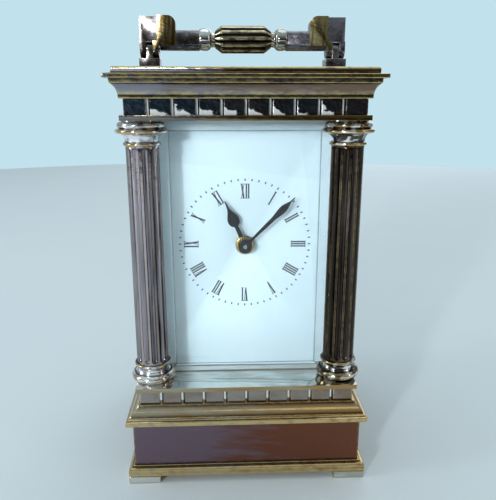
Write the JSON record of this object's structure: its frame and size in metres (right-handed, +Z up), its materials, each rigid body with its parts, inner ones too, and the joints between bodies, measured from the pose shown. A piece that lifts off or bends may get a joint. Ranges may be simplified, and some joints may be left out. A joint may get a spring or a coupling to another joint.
{
  "type": "carriage clock",
  "caption": "Miniature carriage clock: glazed case with fluted corner columns, folding handle, plain numeral dial, hinged back door and a full going movement.",
  "frame": {"origin": "middle of the footprint, on the surface the clock stands on", "axes": "+Z up, the dial looks towards -Y, +X to the right of someone who reads the dial"},
  "size_m": [0.0588, 0.0536, 0.1112],
  "materials": {
    "silver_plate": "polished silver plate, worn to brass on the edges",
    "movement_brass": "gilded and lacquered",
    "bevelled_glass": "clear, with a polished bevel",
    "steel": "polished",
    "blued_steel": "blued",
    "enamel": "fired white enamel on metal"
  },
  "bodies": {
    "case": {"feet": "silver_plate", "base_plinth": "silver_plate", "base_frieze": "silver_plate", "base_plate": "silver_plate", "column_front_left": "silver_plate", "column_front_right": "silver_plate", "column_rear_left": "silver_plate", "column_rear_right": "silver_plate", "top_ledge": "silver_plate", "top_frieze": "silver_plate", "cornice": "silver_plate", "top_plate": "silver_plate", "top_glass": "bevelled_glass", "front_glass": "bevelled_glass", "left_glass": "bevelled_glass", "right_glass": "bevelled_glass", "case_screws": "steel", "handle_lugs": "silver_plate", "door_rails": "silver_plate", "dial": "enamel", "front_plate": "movement_brass", "back_plate": "movement_brass", "pillars": "movement_brass", "movement_screws": "blued_steel", "click_spring": "steel", "platform": "movement_brass", "potence": "movement_brass", "train_cock": "movement_brass", "balance_cock": "movement_brass", "hairspring": "blued_steel"},
    "handle": {"handle_arm_left": "silver_plate", "handle_arm_right": "silver_plate", "handle_ferrules": "silver_plate", "handle_grip": "silver_plate", "handle_rod": "silver_plate", "handle_pins": "silver_plate"},
    "door": {"door_frame": "silver_plate", "door_glass": "bevelled_glass"},
    "catch": {"door_catch": "silver_plate"},
    "barrel": {"barrel_drum": "movement_brass", "barrel_cap": "movement_brass", "mainspring": "blued_steel"},
    "winding": {"barrel_arbor": "steel", "ratchet_wheel": "steel"},
    "click": {"click": "steel"},
    "intermediate": {"intermediate_wheel": "movement_brass"},
    "centre": {"centre_wheel": "movement_brass"},
    "third": {"third_wheel": "movement_brass"},
    "contrate": {"contrate_wheel": "movement_brass"},
    "escape": {"escape_wheel": "movement_brass"},
    "lever": {"pallet_lever": "steel"},
    "balance": {"balance_wheel": "movement_brass"},
    "regulator": {"regulator_index": "steel"},
    "minute": {"centre_arbor": "steel", "cannon_pinion": "steel", "minute_hand": "blued_steel", "hand_collet": "blued_steel"},
    "minute_wheel": {"minute_wheel": "movement_brass"},
    "hour": {"hour_wheel": "movement_brass", "hour_hand": "blued_steel"}
  },
  "joints": [
    {"name": "handle_fold", "type": "hinge", "parent": "case", "child": "handle", "pos_m": [0, 0, 0.10349], "axis": [1, 0, 0], "range_deg": [-90, 90]},
    {"name": "door_swing", "type": "hinge", "parent": "case", "child": "door", "pos_m": [-0.0169, 0.0152, 0.05], "axis": [0, 0, 1], "range_deg": [0, 108]},
    {"name": "catch_turn", "type": "hinge", "parent": "door", "child": "catch", "pos_m": [0.0176, 0.0152, 0.07612], "axis": [0, 1, 0], "range_deg": [0, 90]},
    {"name": "barrel_turn", "type": "hinge", "parent": "case", "child": "barrel", "pos_m": [0, 0, 0.0432], "axis": [0, 1, 0], "continuous": true},
    {"name": "winding_turn", "type": "hinge", "parent": "case", "child": "winding", "pos_m": [0, 0, 0.0432], "axis": [0, 1, 0], "continuous": true},
    {"name": "click_lift", "type": "hinge", "parent": "case", "child": "click", "pos_m": [0.007, 0, 0.0466], "axis": [0, 1, 0], "range_deg": [0, 10], "stiffness_Nm_per_rad": 0.00002},
    {"name": "intermediate_turn", "type": "hinge", "parent": "case", "child": "intermediate", "pos_m": [0.00754, 0, 0.0533], "axis": [0, 1, 0], "continuous": true},
    {"name": "centre_turn", "type": "hinge", "parent": "case", "child": "centre", "pos_m": [0, 0, 0.057], "axis": [0, 1, 0], "continuous": true},
    {"name": "third_turn", "type": "hinge", "parent": "case", "child": "third", "pos_m": [-0.00466, 0, 0.06249], "axis": [0, 1, 0], "continuous": true},
    {"name": "contrate_turn", "type": "hinge", "parent": "case", "child": "contrate", "pos_m": [-0.005, 0, 0.0686], "axis": [0, 1, 0], "continuous": true},
    {"name": "escape_turn", "type": "hinge", "parent": "case", "child": "escape", "pos_m": [-0.005, 0.00081, 0.08], "axis": [0, 0, 1], "continuous": true},
    {"name": "lever_rock", "type": "hinge", "parent": "case", "child": "lever", "pos_m": [-0.00125, 0.00081, 0.08], "axis": [0, 0, 1], "range_deg": [-4, 4]},
    {"name": "balance_swing", "type": "hinge", "parent": "case", "child": "balance", "pos_m": [0.00505, 0.00081, 0.082], "axis": [0, 0, 1], "range_deg": [-135, 135], "stiffness_Nm_per_rad": 0.0000025},
    {"name": "regulator_set", "type": "hinge", "parent": "case", "child": "regulator", "pos_m": [0.00505, 0.00081, 0.085], "axis": [0, 0, 1], "range_deg": [-20, 20]},
    {"name": "minute_turn", "type": "hinge", "parent": "case", "child": "minute", "pos_m": [0, 0, 0.057], "axis": [0, 1, 0], "continuous": true},
    {"name": "minute_wheel_turn", "type": "hinge", "parent": "case", "child": "minute_wheel", "pos_m": [0.00432, 0, 0.05397], "axis": [0, 1, 0], "continuous": true},
    {"name": "hour_turn", "type": "hinge", "parent": "case", "child": "hour", "pos_m": [0, 0, 0.057], "axis": [0, 1, 0], "continuous": true}
  ],
  "couplings": [
    {"joint": "third_turn", "follows": "contrate_turn", "ratio": -0.13333},
    {"joint": "centre_turn", "follows": "contrate_turn", "ratio": 0.016667},
    {"joint": "intermediate_turn", "follows": "contrate_turn", "ratio": -0.0027778},
    {"joint": "barrel_turn", "follows": "contrate_turn", "ratio": 0.00046296},
    {"joint": "escape_turn", "follows": "contrate_turn", "ratio": 10},
    {"joint": "minute_wheel_turn", "follows": "minute_turn", "ratio": -0.33333},
    {"joint": "hour_turn", "follows": "minute_turn", "ratio": 0.083333}
  ]
}
